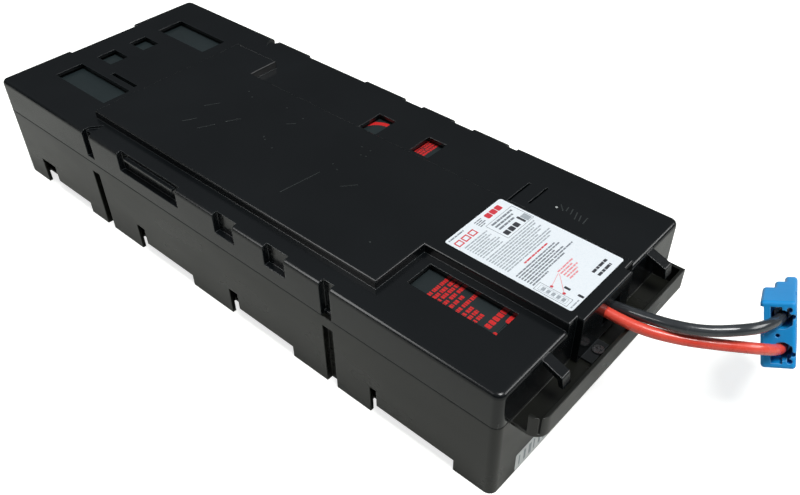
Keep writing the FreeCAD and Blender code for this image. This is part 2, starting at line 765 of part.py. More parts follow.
def free_route(points, up):
    """A lead's route from the slot in the guide to the barrel of its contact."""
    start = FreeCAD.Vector(size("lead_slot_middle"),
                           (size("trough_reach") - size("case_length"))/2 - size("guide_reach"),
                           size("lead_slot_level"))
    return ([start + FreeCAD.Vector(*point) for point in points]
            + [in_housing(along, -size("pole_side"), up)
               for along in (size("lead_entry"), size("lead_engagement"))])


def wire_start(number):
    """Where a wire meets a receptacle: across, along and level of its side face."""
    across = size("tab_x") - size("sleeve_width")/2
    along = value_of_battery_front(number) - size("seat_gap") - size("sleeve_length")/2
    level = size("floor_level") + size("floor") + size("battery_thick") - size("tab_drop")
    return across, along, level


def wire_level(diameter):
    """The height of a wire that runs over the batteries, under the raised deck."""
    return (size("floor_level") + size("floor") + size("battery_thick")
            + size("wire_clearance") + diameter/2)


def make_jumper(number):
    """The wire from the minus terminal of one battery to the plus terminal of the next."""
    across, along, level = wire_start(number)
    next_along = wire_start(number + 1)[1]
    over = wire_level(size("wire_diameter"))
    rise = -size("jumper_lane")
    fall = rise - size("jumper_shift")
    front = value_of_battery_front(number) - size("riser_gap")
    drop = value_of_battery_front(number + 1) - size("drop_gap")
    dip = level + size("jumper_dip")
    slant = size("jumper_slant")
    tube("jumper_wire_%d" % number, "jumper_%d_%d" % (number, number + 1), [
        (across, along, level), (across - size("jumper_run_out"), along, level),
        (rise, front, dip), (rise, front, over),
        ((rise + fall)/2 + size("jumper_bow"), (front + drop)/2, over), (fall, drop, over),
        (fall - slant, drop + slant, dip), (-across + size("jumper_run_in"), next_along, level),
        (-across, next_along, level)], size("wire_diameter"))


def make_inner_leads(red_route, black_route):
    """The stretch of each lead inside the case, from the cable guide to its battery."""
    across, along, level = wire_start(1)
    entry = inward(red_route, 12.0)
    tube("red_inner", "red_lead_inside", [
        red_route[0], entry, (-size("red_turn"), entry[1] + 0.6, level + size("red_rise")),
        (-across + size("red_run_in"), along, level), (-across, along, level)],
        size("lead_diameter"))
    across, along, level = wire_start(4)
    over = wire_level(size("lead_diameter"))
    first = value_of_battery_front(1)
    last = value_of_battery_front(4)
    entry = inward(black_route, 8.0)
    lane = entry[0]
    stations = [first + (last - 28.0 - first)*step/5 for step in range(1, 6)]
    sway = [1.9, 0.2, 1.7, 0.4, 1.8]
    tube("black_inner", "black_lead_inside", [
        black_route[0], entry, (lane + 0.5, first - 8.6, over - 3.6), (lane + 1.0, first + 2.0, over)]
        + [(lane + shift, station, over) for shift, station in zip(sway, stations)]
        + [(lane + 4.0, last - 9.6, over), (lane + 10.0, last - 7.0, level + 2.5),
           (across - 16.0, along, level), (across, along, level)], size("lead_diameter"))


def inward(route, reach):
    """A point inside the case on the straight line of a lead's first free run."""
    return tuple(route[0] + (route[0] - route[1]).normalize()*reach)


def make_connector():
    """The two-pole connector housing and its contacts, in the pose the stiff leads hold."""
    low, high = "-housing_height/2", "housing_height/2"
    near = "-housing_near_side"
    steps = fuse("housing_steps", [
        box("housing_block", "0", "block_end", near, "housing_far_side", low, high),
        box("housing_shoulder", "block_end - 1", "shoulder_end", near, "shoulder_side", low, high),
        box("housing_tongue", "shoulder_end - 1", "housing_length", near, "-tongue_side", low,
            high)])
    doc.recompute()
    edged = doc.addObject("Part::Fillet", "housing_edges")
    edged.Base = steps
    top = size("housing_height")/2
    rounded = [number + 1 for number, edge in enumerate(steps.Shape.Edges)
               if edge.BoundBox.XMax < 0.01
               or (is_across(edge) and abs(abs(edge.Vertexes[0].Z) - top) < 0.01)]
    edged.Edges = [(number, size("housing_edge"), size("housing_edge")) for number in rounded]
    forward = FreeCAD.Vector(1, 0, 0)
    cutters = [
        box("flank_recess", "-1", "block_end + 1", "housing_far_side - flank_recess_depth",
            "housing_far_side + 1", "-flank_recess_low", "flank_recess_high"),
        box("thumb_groove", "thumb_groove_start", "thumb_groove_end", near + " - 1",
            near + " + thumb_groove_depth", low + " - 1", high + " + 1"),
        cylinder("pin_hole", "pin_hole/2", "pin_hole_depth + 1", ("-1", "pin_hole_side", "0"),
                 forward)]
    for word, sign in (("plus", "-"), ("minus", "")):
        pole = sign + "pole_pitch/2"
        cutters.append(cylinder("port_" + word, "port_diameter/2", "port_depth + 1",
                                ("-1", "-pole_side", pole), forward))
        ends = [sign + "port_notch_in", sign + "port_notch_out"]
        if sign:
            ends.reverse()
        cutters.append(box("port_notch_" + word, "-1", "port_notch_depth", "-pole_side",
                           "-pole_side + port_notch_side", *ends))
        middle = "(%s + %s)/2" % tuple(ends)
        for tooth, ring, rise in (("low", "port_tooth_ring*0.7", " - port_tooth_rise"),
                                  ("mid", "port_tooth_ring", ""),
                                  ("high", "port_tooth_ring*0.7", " + port_tooth_rise")):
            cutters.append(cylinder("port_tooth_%s_%s" % (word, tooth), "port_tooth/2",
                                    "port_notch_depth + 1",
                                    ("-1", "-pole_side - " + ring, middle + rise), forward))
        cutters.append(box("passage_" + word, "port_depth - 1", "housing_length",
                           "-pole_side - contact_blade_thick/2 - seat_gap",
                           "-pole_side + contact_blade_thick/2 + seat_gap",
                           pole + " - contact_blade_width/2 - seat_gap",
                           pole + " + contact_blade_width/2 + seat_gap"))
        cutters.append(box("mouth_" + word, "housing_length - mouth_depth", "housing_length + 1",
                           "-mouth_low_side", "mouth_high_side", pole + " - mouth_height/2",
                           pole + " + mouth_height/2"))
    place_connector(finish(cut("housing_solid", edged, cutters), "connector_housing"))
    for word, sign in (("red", "-"), ("black", "")):
        pole = sign + "pole_pitch/2"
        barrel = cylinder("barrel_" + word, "contact_barrel/2", "port_depth - lead_engagement",
                          ("lead_engagement", "-pole_side", pole), forward)
        blade = box("blade_" + word, "port_depth - 1", "port_depth + contact_blade_length",
                    "-pole_side - contact_blade_thick/2", "-pole_side + contact_blade_thick/2",
                    pole + " - contact_blade_width/2", pole + " + contact_blade_width/2")
        place_connector(finish(fuse("contact_solid_" + word, [barrel, blade]),
                               "connector_contact_" + word))


def place_connector(piece):
    """Moves a piece from the housing's own frame to where the leads hold it."""
    turn = FreeCAD.Rotation(size("housing_heading"), size("housing_dip"), size("housing_roll"))
    piece.Placement = FreeCAD.Placement(FreeCAD.Vector(), turn)
    for letter, place in zip("xyz", ("housing_x", FRONT + " - housing_reach", "housing_z")):
        piece.setExpression(".Placement.Base." + letter, tied(place))


def make_screw():
    """The screw through the guide's foot into the trough's boss."""
    place = ("-screw_x", FRONT + " - screw_inset")
    seat = FOOT_SEAT + " + foot_height"
    head = cylinder("screw_head", "screw_head/2", "screw_head_height", place + (seat,),
                    FreeCAD.Vector(0, 0, 1))
    shank = cylinder("screw_shank", "screw_shank/2", "screw_length + 1",
                     place + (seat + " - screw_length",), FreeCAD.Vector(0, 0, 1))
    slots = [box("screw_slot_long", "-screw_x - screw_head/3", "-screw_x + screw_head/3",
                 place[1] + " - screw_slot/2", place[1] + " + screw_slot/2",
                 seat + " + screw_head_height/2", seat + " + screw_head_height + 1"),
             box("screw_slot_cross", "-screw_x - screw_slot/2", "-screw_x + screw_slot/2",
                 place[1] + " - screw_head/3", place[1] + " + screw_head/3",
                 seat + " + screw_head_height/2", seat + " + screw_head_height + 1")]
    finish(cut("screw_solid", fuse("screw_blank", [head, shank]), slots), "cover_screw")


def make_labels():
    """The blank label on the raised middle and the striped sticker on the front wall."""
    finish(box("label_plate", "-block_near + label_near_margin", "plateau_far - label_far_margin",
               FRONT + " + label_gap", FRONT + " + label_gap + label_length",
               TOP, TOP + " + label_thick"), "top_label")
    finish(box("sticker_plate", "-sticker_left", "-sticker_left + sticker_width",
               FRONT + " - label_thick", FRONT, "sticker_level",
               "sticker_level + sticker_height"), "front_sticker")


make_lower_tray()
make_upper_cover()
make_screw()
for battery in range(1, 5):
    make_battery(battery)
doc.recompute()
RED_ROUTE = free_route(RED_POINTS, -size("pole_pitch")/2)
BLACK_ROUTE = free_route(BLACK_POINTS, size("pole_pitch")/2)
for first_battery in range(1, 4):
    make_jumper(first_battery)
make_inner_leads(RED_ROUTE, BLACK_ROUTE)
tube("red_outer", "red_lead", RED_ROUTE, size("lead_diameter"))
tube("black_outer", "black_lead", BLACK_ROUTE, size("lead_diameter"))
make_connector()
make_labels()

doc.recompute()
for item in doc.Objects:
    if "Invalid" in item.State or "Error" in item.State:
        raise RuntimeError("%s: %s" % (item.Name, item.State))
os.makedirs("parts", exist_ok=True)
for piece in PARTS:
    if piece.Shape.isNull() or not piece.Shape.isValid():
        raise RuntimeError("bad shape " + piece.Label)
    piece.Shape.exportStep("parts/%s.step" % piece.Label)
    print(piece.Label, len(piece.Shape.Solids), round(piece.Shape.Volume/1000, 2),
          [round(v, 1) for v in (piece.Shape.BoundBox.XMin, piece.Shape.BoundBox.XMax,
           piece.Shape.BoundBox.YMin, piece.Shape.BoundBox.YMax,
           piece.Shape.BoundBox.ZMin, piece.Shape.BoundBox.ZMax)])
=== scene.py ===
import math

import bmesh
import bpy
from mathutils import Matrix, Vector


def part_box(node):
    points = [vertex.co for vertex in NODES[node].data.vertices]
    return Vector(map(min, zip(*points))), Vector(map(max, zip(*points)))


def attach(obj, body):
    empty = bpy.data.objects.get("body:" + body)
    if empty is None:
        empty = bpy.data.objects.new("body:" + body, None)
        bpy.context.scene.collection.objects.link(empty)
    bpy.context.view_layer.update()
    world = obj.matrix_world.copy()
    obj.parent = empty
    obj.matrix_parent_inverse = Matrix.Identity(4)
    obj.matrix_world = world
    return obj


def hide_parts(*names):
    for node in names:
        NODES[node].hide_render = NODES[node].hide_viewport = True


# Looks of the battery cartridge: moulded black plastic, battery print seen through the
# openings, a pale label and sticker, two stiff leads and a blue connector.

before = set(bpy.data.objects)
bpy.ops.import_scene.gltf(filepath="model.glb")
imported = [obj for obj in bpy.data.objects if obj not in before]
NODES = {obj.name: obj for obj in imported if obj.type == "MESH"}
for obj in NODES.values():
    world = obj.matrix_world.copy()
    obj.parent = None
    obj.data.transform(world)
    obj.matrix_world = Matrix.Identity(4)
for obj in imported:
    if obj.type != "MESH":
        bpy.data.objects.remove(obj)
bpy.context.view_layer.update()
MM = 0.001
WHITE = (1, 1, 1)

# The parting line between cover and tray, in metres above the floor.
SEAM_LEVEL = 0.055

# The cover's deck, in millimetres above the floor.
DECK_LEVEL = 80.0

# ---------------------------------------------------------------- camera


def make_camera():
    """The camera, where the object is seen from above its near front corner."""
    place = Vector((-301.2, -350.1, 388.3))*MM
    right = Vector((0.66150, -0.74986, -0.01105))
    down = Vector((-0.49722, -0.42750, -0.75500))
    ahead = Vector((0.56142, 0.50493, -0.65563))
    data = bpy.data.cameras.new("camera")
    data.sensor_width = 36.0
    data.lens = 37.72
    data.clip_start = 0.01
    camera = bpy.data.objects.new("camera", data)
    turn = Matrix((right, -down, -ahead)).transposed().to_4x4()
    camera.matrix_world = Matrix.Translation(place) @ turn
    bpy.context.collection.objects.link(camera)
    bpy.context.scene.camera = camera


# ---------------------------------------------------------------- materials


class Nodes:
    """A short way to write the nodes of a material or of the surroundings."""

    def __init__(self, owner):
        owner.use_nodes = True
        self.owner = owner
        self.tree = owner.node_tree
        self.shader = self.tree.nodes.get("Principled BSDF")

    def add(self, kind, **settings):
        """A new node, with values for its inputs and its other settings."""
        node = self.tree.nodes.new(kind)
        for key, value in settings.items():
            if key in node.inputs:
                node.inputs[key].default_value = value
            else:
                setattr(node, key, value)
        return node

    def link(self, source, output, target, socket):
        """Joins an output to an input."""
        self.tree.links.new(source.outputs[output], target.inputs[socket])

    def noise(self, scale, detail=2.0, stretch=None):
        """Noise that stays fixed to the piece, stretched along its axes where asked."""
        where = self.add("ShaderNodeTexCoord")
        noise = self.add("ShaderNodeTexNoise", Scale=scale, Detail=detail)
        if stretch:
            mapping = self.add("ShaderNodeMapping")
            mapping.inputs["Scale"].default_value = stretch
            self.link(where, "Object", mapping, "Vector")
            self.link(mapping, "Vector", noise, "Vector")
        else:
            self.link(where, "Object", noise, "Vector")
        return noise

    def blend(self, mask, share, source, output, colour):
        """A second colour laid over the first where the mask says."""
        mix = self.add("ShaderNodeMix", data_type="RGBA")
        self.link(mask, share, mix, "Factor")
        self.link(source, output, mix, "A")
        mix.inputs["B"].default_value = (*colour, 1)
        return mix, "Result"

    def spread(self, source, output, low, high, start=0.35, end=0.65):
        """A value that goes from low to high while its source goes from start to end."""
        span = self.add("ShaderNodeMapRange")
        span.inputs["From Min"].default_value = start
        span.inputs["From Max"].default_value = end
        span.inputs["To Min"].default_value = low
        span.inputs["To Max"].default_value = high
        self.link(source, output, span, "Value")
        return span

    def colours(self, source, output, first, second, start=0.35, end=0.65):
        """A colour that goes from first to second while its source goes from start to end."""
        ramp = self.add("ShaderNodeValToRGB")
        for element, place, colour in zip(ramp.color_ramp.elements, (start, end),
                                          (first, second)):
            element.position = place
            element.color = (*colour, 1)
        self.link(source, output, ramp, "Fac")
        return ramp

    def tint(self, source, first, second, start=0.35, end=0.65):
        """Patches of two tones for the surface."""
        ramp = self.colours(source, "Fac", first, second, start, end)
        self.link(ramp, "Color", self.shader, "Base Color")

    def gloss(self, source, smoothest, roughest):
        """Uneven gloss for the surface."""
        span = self.spread(source, "Fac", smoothest, roughest)
        self.link(span, "Result", self.shader, "Roughness")

    def relief(self, source, strength, distance, under=None):
        """Fine relief, laid over the relief under it."""
        bump = self.add("ShaderNodeBump", Strength=strength, Distance=distance)
        self.link(source, "Fac", bump, "Height")
        if under is not None:
            self.link(under, "Normal", bump, "Normal")
        return bump


def linear(red, green, blue):
    """A colour of three display levels, 0 to 255, in linear light."""
    def one(level):
        level /= 255.0
        return level/12.92 if level <= 0.04045 else ((level + 0.055)/1.055)**2.4
    return one(red), one(green), one(blue)


DUST_COLOUR = linear(120, 122, 120)
PLASTIC_IOR = 1.42

# How far a softened edge leans from its faces, as a cosine, for the painted edge highlight:
# fully bright, then not at all.
HIGHLIGHT_LEAN = (0.86, 0.985)

# The dull parting line: its roughness, and where its fade starts and ends, in metres above
# the seam.
SEAM_ROUGHNESS = 0.95
SEAM_FADE = (0.0006, 0.001)


def moulded_plastic(name, colour, darker, roughness, grain=900.0, grain_height=0.03,
                    round_edge=0.0006, edge_highlight=None, edge_highlight_share=0.5, dust=0.0, seam=None):
    """Moulded plastic: fine grain, uneven gloss, soft edges with a painted highlight where
    asked, and a trace of dust.
    """
    kit = Nodes(bpy.data.materials.new(name))
    patches = kit.noise(14.0, 4.0)
    source, output = kit.colours(patches, "Fac", darker, colour), "Color"
    if dust:
        specks = kit.noise(650.0, 3.0)
        mask = kit.spread(specks, "Fac", 0.0, dust, 0.7, 0.8)
        source, output = kit.blend(mask, "Result", source, output, DUST_COLOUR)
    bevel = kit.add("ShaderNodeBevel", samples=8, Radius=round_edge)
    # Painted edge highlight: a lighter colour laid on where the softened normal leans away
    # from the flat one.
    if edge_highlight:
        flat = kit.add("ShaderNodeNewGeometry")
        turned = kit.add("ShaderNodeVectorMath", operation="DOT_PRODUCT")
        kit.link(bevel, "Normal", turned, 0)
        kit.link(flat, "Normal", turned, 1)
        highlight_rim = kit.spread(turned, "Value", edge_highlight_share, 0.0, *HIGHLIGHT_LEAN)
        source, output = kit.blend(highlight_rim, "Result", source, output, edge_highlight)
    kit.link(source, output, kit.shader, "Base Color")
    handling = kit.noise(38.0, 6.0, (1.0, 0.35, 1.0))
    source, output = kit.spread(handling, "Fac", roughness - 0.04, roughness + 0.05), "Result"
    if seam:
        place = kit.add("ShaderNodeTexCoord")
        height = kit.add("ShaderNodeSeparateXYZ")
        kit.link(place, "Object", height, "Vector")
        start, end = (seam + fade for fade in SEAM_FADE)
        line = kit.spread(height, "Z", SEAM_ROUGHNESS, 0.0, start, end)
        both = kit.add("ShaderNodeMath", operation="MAXIMUM")
        kit.link(source, output, both, 0)
        kit.link(line, "Result", both, 1)
        source, output = both, "Value"
    kit.link(source, output, kit.shader, "Roughness")
    waves = kit.relief(kit.noise(22.0, 1.0), 0.04, 0.002, bevel)
    grains = kit.relief(kit.noise(grain, 2.0), grain_height, 0.0003, waves)
    kit.link(grains, "Normal", kit.shader, "Normal")
    kit.shader.inputs["IOR"].default_value = PLASTIC_IOR
    return kit.owner


def printed(name, colour, darker, roughness=0.45):
    """Ink on plastic or paper, a little uneven."""
    kit = Nodes(bpy.data.materials.new(name))
    flecks = kit.noise(1400.0, 3.0)
    kit.tint(flecks, darker, colour, 0.3, 0.55)
    kit.gloss(flecks, roughness - 0.08, roughness + 0.08)
    return kit.owner


def metal(name, colour, roughness):
    """Plated metal with fine brushing and dull spots."""
    kit = Nodes(bpy.data.materials.new(name))
    brush = kit.noise(600.0, 3.0, (1.0, 8.0, 1.0))
    dull = tuple(part*0.7 for part in colour)
    kit.tint(kit.noise(60.0, 4.0), dull, colour)
    kit.gloss(brush, roughness - 0.08, roughness + 0.1)
    kit.link(kit.relief(brush, 0.1, 0.0002), "Normal", kit.shader, "Normal")
    kit.shader.inputs["Metallic"].default_value = 1.0
    return kit.owner


def insulation(name, colour, darker, roughness):
    """Extruded lead insulation: glossy, slightly rippled and scuffed."""
    kit = Nodes(bpy.data.materials.new(name))
    kit.tint(kit.noise(70.0, 4.0), darker, colour, 0.3, 0.6)
    kit.gloss(kit.noise(160.0, 5.0), roughness - 0.06, roughness + 0.12)
    ripple = kit.relief(kit.noise(260.0, 2.0), 0.12, 0.0004)
    kit.link(ripple, "Normal", kit.shader, "Normal")
    kit.shader.inputs["Coat Weight"].default_value = 0.3
    kit.shader.inputs["Coat Roughness"].default_value = 0.1
    return kit.owner


# The edge colours given below are painted edge highlights laid over each plastic's own colour.
LOOKS = {
    "cover": moulded_plastic("cover_black", linear(15, 18, 20), linear(11, 14, 16), 0.22,
                             round_edge=0.0008, edge_highlight=linear(84, 92, 94), edge_highlight_share=0.2,
                             dust=0.05, seam=SEAM_LEVEL),
    "tray": moulded_plastic("tray_black", linear(22, 23, 19), linear(15, 16, 13), 0.3,
                            grain_height=0.04, round_edge=0.0008, edge_highlight=linear(84, 88, 82),
                            edge_highlight_share=0.2, dust=0.05),
    # The marks are the cover's black plastic drawn lighter, as a painted highlight.
    "marks": moulded_plastic("moulded_marks_painted_highlight", linear(56, 60, 60), linear(38, 42, 42), 0.3,
                             round_edge=0.0001),
    # The pip's near-white is a painted glint on black plastic.
    "glint": moulded_plastic("painted_glint_plastic", linear(188, 192, 190), linear(150, 154, 152), 0.2,
                             round_edge=0.0001),
    "battery": moulded_plastic("battery_slate", linear(30, 40, 42), linear(24, 33, 35), 0.5,
                               grain=1200.0, grain_height=0.06),
    "vents": moulded_plastic("vent_strip_slate", linear(44, 53, 58), linear(36, 44, 49), 0.55),
    "blue": moulded_plastic("connector_blue", linear(22, 160, 234), linear(18, 148, 224), 0.42,
                            grain=1000.0, round_edge=0.0007, edge_highlight=linear(150, 200, 238)),
    "jumper": insulation("jumper_black", linear(30, 30, 32), linear(22, 22, 24), 0.35),
    "red_lead": insulation("red_lead_red", linear(242, 86, 68), linear(232, 70, 54), 0.26),
    "black_lead": insulation("black_lead_black", linear(62, 66, 69), linear(46, 49, 52), 0.17),
    "tin": metal("tin_plate", linear(200, 200, 196), 0.35),
    "silver": metal("silver_plate", linear(210, 210, 205), 0.3),
    "screw": metal("screw_zinc", linear(146, 148, 150), 0.32),
    "label": printed("label_white", linear(238, 244, 248), linear(230, 238, 243), 0.4),
    "sticker": printed("sticker_white", linear(244, 247, 248), linear(234, 238, 240), 0.5),
    "red_ink": printed("battery_red_ink", linear(208, 38, 38), linear(182, 24, 26)),
    "label_red": printed("label_red_ink", linear(214, 62, 74), linear(200, 44, 58)),
    "label_pink": printed("label_pink_ink", linear(236, 150, 156), linear(226, 128, 136)),
    "label_grey": printed("label_grey_ink", linear(170, 178, 184), linear(150, 159, 166)),
    "label_black": printed("label_black_ink", linear(58, 60, 66), linear(42, 44, 50)),
    "label_dark": printed("label_dark_grey_ink", linear(124, 130, 138), linear(104, 111, 120)),
}

# The look of each solid: the first entry that its name holds counts.
NODE_LOOKS = (("lower_tray", "tray"), ("upper_cover", "cover"), ("cover_screw", "screw"),
              ("_vent_strip", "vents"), ("_terminal_", "tin"), ("_receptacle_", "tin"),
              ("battery_", "battery"), ("jumper_", "jumper"), ("connector_housing", "blue"),
              ("connector_contact", "silver"), ("top_label", "label"),
              ("front_sticker", "sticker"), ("red_lead", "red_lead"),
              ("black_lead", "black_lead"))


def dress_nodes():
    """Gives each solid its look."""
    for name, node in NODES.items():
        look = next(look for part, look in NODE_LOOKS if part in name)
        node.data.materials.clear()
        node.data.materials.append(LOOKS[look])


# ---------------------------------------------------------------- building blocks


def new_piece(name, data, look):
    """An object that rides on the case."""
    piece = bpy.data.objects.new(name, data)
    bpy.context.collection.objects.link(piece)
    data.materials.append(LOOKS[look])
    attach(piece, "root")
    return piece


def to_mesh(name, built):
    """The finished mesh, with its faces turned outwards."""
    mesh = bpy.data.meshes.new(name)
    bmesh.ops.recalc_face_normals(built, faces=built.faces)
    built.to_mesh(mesh)
    built.free()
    return mesh


def block(built, outline, low, high, material=0):
    """A closed block that stands on an outline, between two heights, in millimetres."""
    lower, upper = ([built.verts.new(Vector((x, y, level))*MM) for x, y in outline]
                    for level in (low, high))
    faces = [built.faces.new(upper), built.faces.new(list(reversed(lower)))]
    sides = zip(lower, lower[1:] + lower[:1], upper[1:] + upper[:1], upper)
    faces += [built.faces.new(side) for side in sides]
    for face in faces:
        face.material_index = material


# The steps of a rounded corner, in degrees, and the largest share of a side that it takes.
CORNER_TURNS = (0.0, 22.5, 45.0, 67.5, 90.0)
CORNER_SHARE = 0.49


def bar(built, low, high, corner=0.0, material=0):
    """A block between two corners, in millimetres, its upright edges rounded."""
    width, depth = high[0] - low[0], high[1] - low[1]
    corner = min(corner, width*CORNER_SHARE, depth*CORNER_SHARE)
    if corner <= 0:
        outline = [(low[0], low[1]), (high[0], low[1]), (high[0], high[1]), (low[0], high[1])]
    else:
        outline = []
        for x, y, start in ((high[0] - corner, low[1] + corner, -90),
                            (high[0] - corner, high[1] - corner, 0),
                            (low[0] + corner, high[1] - corner, 90),
                            (low[0] + corner, low[1] + corner, 180)):
            turns = [math.radians(start + turn) for turn in CORNER_TURNS]
            outline += [(x + corner*math.cos(turn), y + corner*math.sin(turn))
                        for turn in turns]
    block(built, outline, low[2], high[2], material)


def slanted(start_x, start_y, end_x, end_y, thick):
    """The outline of a slanting stroke between two points."""
    run = math.hypot(end_x - start_x, end_y - start_y)
    across = (end_y - start_y)/run*thick/2
    along = (end_x - start_x)/run*thick/2
    return [(start_x + across, start_y - along), (end_x + across, end_y - along),
            (end_x - across, end_y + along), (start_x - across, start_y + along)]


# Two kinds of uneven rows, in millimetres: the room that the last piece needs, the least
# width, what the widest adds to it, and the gap.
SMALL_BLOCKS = (0.5, 0.9, 0.9, 0.3)
LABEL_WORDS = (0.6, 1.1, 3.6, 0.42)

# From one piece of a row to the next, the added width moves on by this share.
WIDTH_STEP = 0.618


def uneven_row(left, right, kind, number):
    """The left and right ends of the uneven pieces that fill a row."""
    room, least, added, gap = kind
    while left < right - room:
        reach = min(left + least + added*((number*WIDTH_STEP) % 1.0), right)
        yield left, reach
        left = reach + gap
        number += 1


# ---------------------------------------------------------------- battery print

# The ink's height and the rounding of its small blocks. All lengths of the print are in
# millimetres.
INK_HEIGHT = 0.06
BLOCK_CORNER = 0.2

# Rows on the front battery, from the rear of its opening forwards: left end, right end,
# place along the case, and where the row breaks, from its left end.
FRONT_ROWS = [
    (-54.0, -34.4, -146.4, (5.2, 11.6)), (-54.0, -33.9, -150.0, (7.4, 14.0)),
    (-53.8, -33.8, -153.3, (4.1, 9.8, 15.2)), (-53.8, -34.1, -157.0, (6.6, 12.9)),
    (-53.7, -40.7, -161.0, (5.0, 9.4)), (-53.6, -34.8, -165.7, (6.1, 13.2)),
    (-53.9, -44.4, -169.8, (4.6,)), (-54.1, -44.7, -173.4, (5.4,)),
    (-53.8, -45.2, -177.1, (3.9,)),
]
FRONT_ROW_WIDTH = 2.4
FRONT_ROW_BREAK = 0.9

# A row of bolder blocks in front of them: how many, the first left end and the pitch, then
# the width, near end, far end and rounding of each.
BOLD_COUNT, BOLD_LEFT, BOLD_PITCH = 5, -51.4, 3.45
BOLD_WIDTH, BOLD_NEAR, BOLD_FAR, BOLD_CORNER = 2.75, -186.2, -182.4, 0.5

# A rounded pill and a drop in front of the bold row: left, right, near, far, rounding.
ROUND_MARKS = [(-42.1, -34.9, -192.0, -188.7, 1.5), (-54.4, -50.9, -191.4, -188.8, 1.2)]

# Rows seen through the front one of the two small openings, each in two parts: how many,
# their ends, the rearmost one, their pitch and width, and the splits, which take turns.
FAR_COUNT, FAR_LEFT, FAR_RIGHT = 4, 44.8, 60.8
FAR_REARMOST, FAR_PITCH, FAR_WIDTH = -52.8, 2.4, 1.8
FAR_SPLITS, FAR_SPLIT_GAP = (49.8, 51.4), 0.7

# Part of a ring seen through the rear one: its middle, its radii, where it starts and ends,
# in degrees, and its steps.
RING_MIDDLE, RING_RADII, RING_TURN = (42.0, -20.2), (12.7, 16.4), (4.0, 110.0)
RING_STEPS = 24


def make_battery_print():
    """Rows of red blocks and rounded marks, where the battery shows through the openings."""
    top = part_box("battery_1")[1].z/MM
    ink = top + INK_HEIGHT
    built = bmesh.new()

    def row(left, right, along, width, seed):
        """A row of small blocks."""
        for start, end in uneven_row(left, right, SMALL_BLOCKS, 7*seed):
            bar(built, (start, along - width/2, top), (end, along + width/2, ink),
                BLOCK_CORNER)

    for number, (left, right, along, cuts) in enumerate(FRONT_ROWS):
        edges = [left] + [left + cut for cut in cuts] + [right + FRONT_ROW_BREAK]
        for first, second in zip(edges, edges[1:]):
            row(first, second - FRONT_ROW_BREAK, along, FRONT_ROW_WIDTH, number)
    for number in range(BOLD_COUNT):
        left = BOLD_LEFT + BOLD_PITCH*number
        bar(built, (left, BOLD_NEAR, top), (left + BOLD_WIDTH, BOLD_FAR, ink), BOLD_CORNER)
    for left, right, near, far, corner in ROUND_MARKS:
        bar(built, (left, near, top), (right, far, ink), corner)
    for number in range(FAR_COUNT):
        along = FAR_REARMOST - FAR_PITCH*number
        split = FAR_SPLITS[number % 2]
        row(FAR_LEFT, split, along, FAR_WIDTH, number + 3)
        row(split + FAR_SPLIT_GAP, FAR_RIGHT, along, FAR_WIDTH, number + 8)
    ring_part(built, RING_MIDDLE, RING_RADII, RING_TURN, (top, ink))
    new_piece("battery_print", to_mesh("battery_print", built), "red_ink")


def ring_part(built, middle, radii, turn, levels):
    """A flat part of a ring."""
    start, end = turn
    rings = []
    for step in range(RING_STEPS + 1):
        angle = math.radians(start + (end - start)*step/RING_STEPS)
        across, along = math.cos(angle), math.sin(angle)
        rings.append([built.verts.new(Vector((middle[0] + radius*across,
                                              middle[1] + radius*along, level))*MM)
                      for radius in radii for level in levels])
    for first, second in zip(rings, rings[1:]):
        for here, there in ((0, 1), (1, 3), (3, 2), (2, 0)):
            built.faces.new((first[here], first[there], second[there], second[here]))
    built.faces.new(rings[0])
    built.faces.new(list(reversed(rings[-1])))


# ---------------------------------------------------------------- label and sticker

# The label's materials, in the order of its slots.
LABEL_INKS = ("label_red", "label_pink", "label_grey", "label_black", "label_dark")
PAPER, RED, PINK, GREY, BLACK, DARK = range(6)

# The label's rounded corners, how far its paper lies below its ink, and how far each mark
# goes down, in millimetres.
LABEL_CORNER = 1.6
PAPER_DROP = 0.04
INK_DEPTH = 0.05


class Label:
    """The label's mesh. Marks are placed from its left and rear edges, in millimetres."""

    def __init__(self, node):
        low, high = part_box(node)
        self.left, near, base = (value/MM for value in low)
        right, self.far, self.top = (value/MM for value in high)
        self.built = bmesh.new()
        bar(self.built, (self.left, near, base), (right, self.far, self.top - PAPER_DROP),
            LABEL_CORNER, PAPER)

    def mark(self, ink, left, right, rear, front, corner=0.15):
        """A plain field."""
        bar(self.built, (self.left + left, self.far - front, self.top - INK_DEPTH),
            (self.left + right, self.far - rear, self.top), corner, ink)

    def words(self, ink, left, right, rear, height, number):
        """One line of text as short bars of uneven lengths."""
        for start, end in uneven_row(left, right, LABEL_WORDS, number):
            self.mark(ink, start, end, rear, rear + height, 0.0)

    def lines(self, ink, left, right, rear, count, pitch, height, short):
        """Lines of text below each other, each ended early by one of a few lengths."""
        for number in range(count):
            self.words(ink, left, right - short[number % len(short)], rear + pitch*number,
                       height, 13*number + 5*int(rear))

    def frame(self, ink, left, right, rear, front, thick):
        """A plain outline."""
        self.mark(ink, left, right, rear, rear + thick, 0.0)
        self.mark(ink, left, right, front - thick, front, 0.0)
        self.mark(ink, left, left + thick, rear + thick, front - thick, 0.0)
        self.mark(ink, right - thick, right, rear + thick, front - thick, 0.0)

    def stroke(self, ink, ends, thick):
        """A thin slanting line between two points."""
        outline = [(self.left + x, self.far - y) for x, y in slanted(*ends, thick)]
        block(self.built, outline, self.top - INK_DEPTH, self.top, ink)


